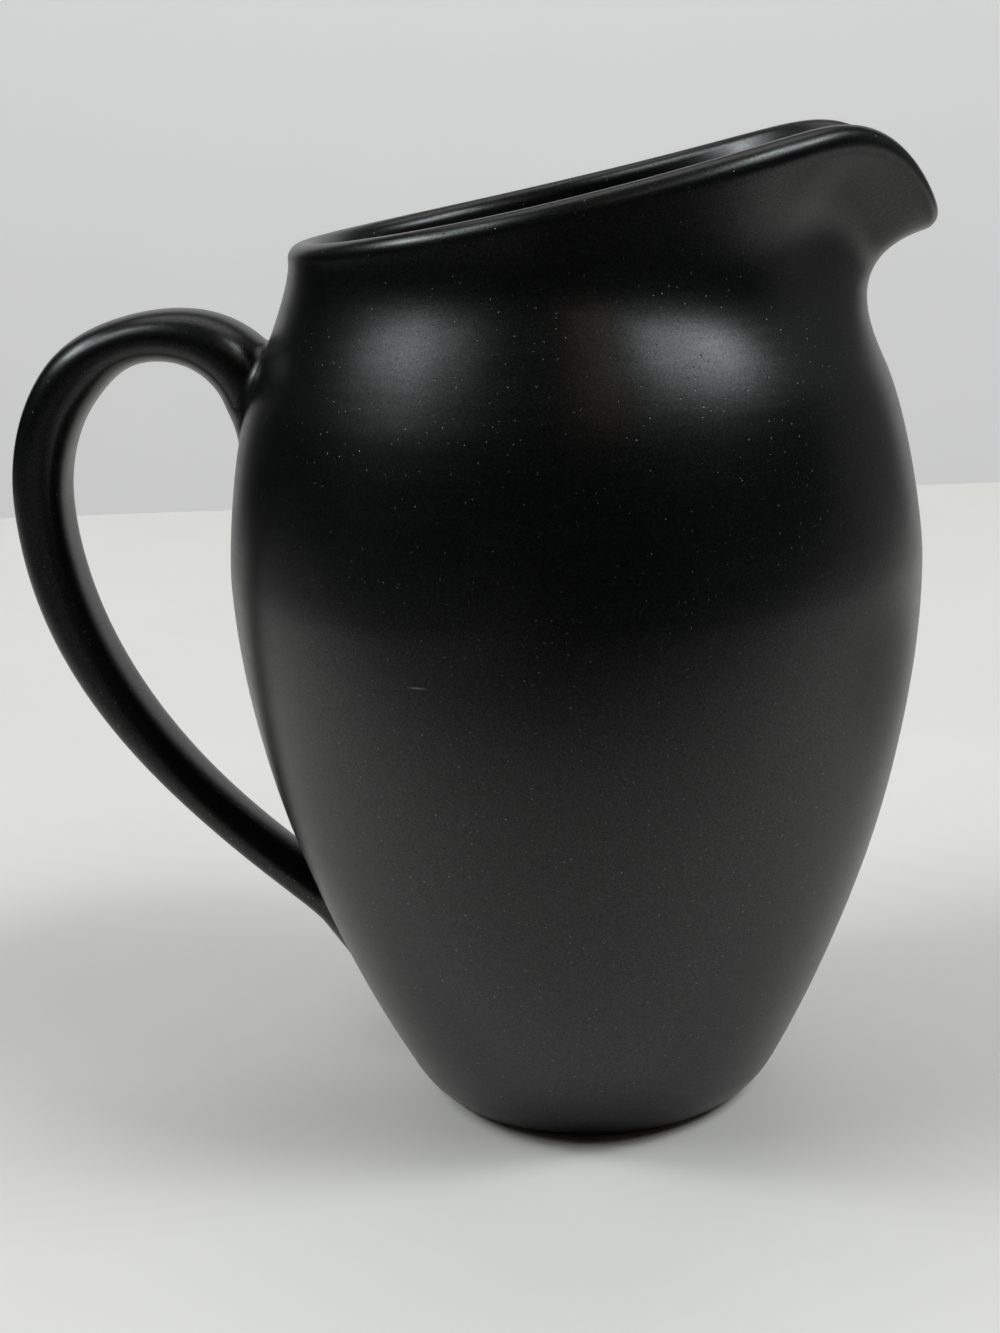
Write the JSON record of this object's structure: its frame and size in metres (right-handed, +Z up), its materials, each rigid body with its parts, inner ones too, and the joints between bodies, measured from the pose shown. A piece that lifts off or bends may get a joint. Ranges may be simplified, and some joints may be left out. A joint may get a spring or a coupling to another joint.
{
  "type": "creamer",
  "caption": "Small stoneware pitcher for cream or milk: swelling belly, narrow foot, pulled pouring spout and a slender looped side handle, in matt black glaze.",
  "frame": {"origin": "bottom centre of the whole creamer's box, on the surface that it stands on", "axes": "+X from the handle to the spout, +Z up, +Y to the left of someone who looks along +X; the XZ plane is the plane of symmetry"},
  "size_m": [0.1126, 0.0838, 0.1192],
  "materials": {
    "body_glaze": "matt black stoneware glaze with a soft sheen and fine pits, over a buff clay that shows only under the foot ring",
    "handle_glaze": "the same matt black glaze, a little smoother where it ran down the pulled handle",
    "slip_glaze": "the same matt black glaze, pooled in the fillet where the handle meets the wall"
  },
  "bodies": {
    "root": {"body": "body_glaze", "handle": "handle_glaze", "upper_luting_slip": "slip_glaze", "lower_luting_slip": "slip_glaze"}
  },
  "joints": []
}
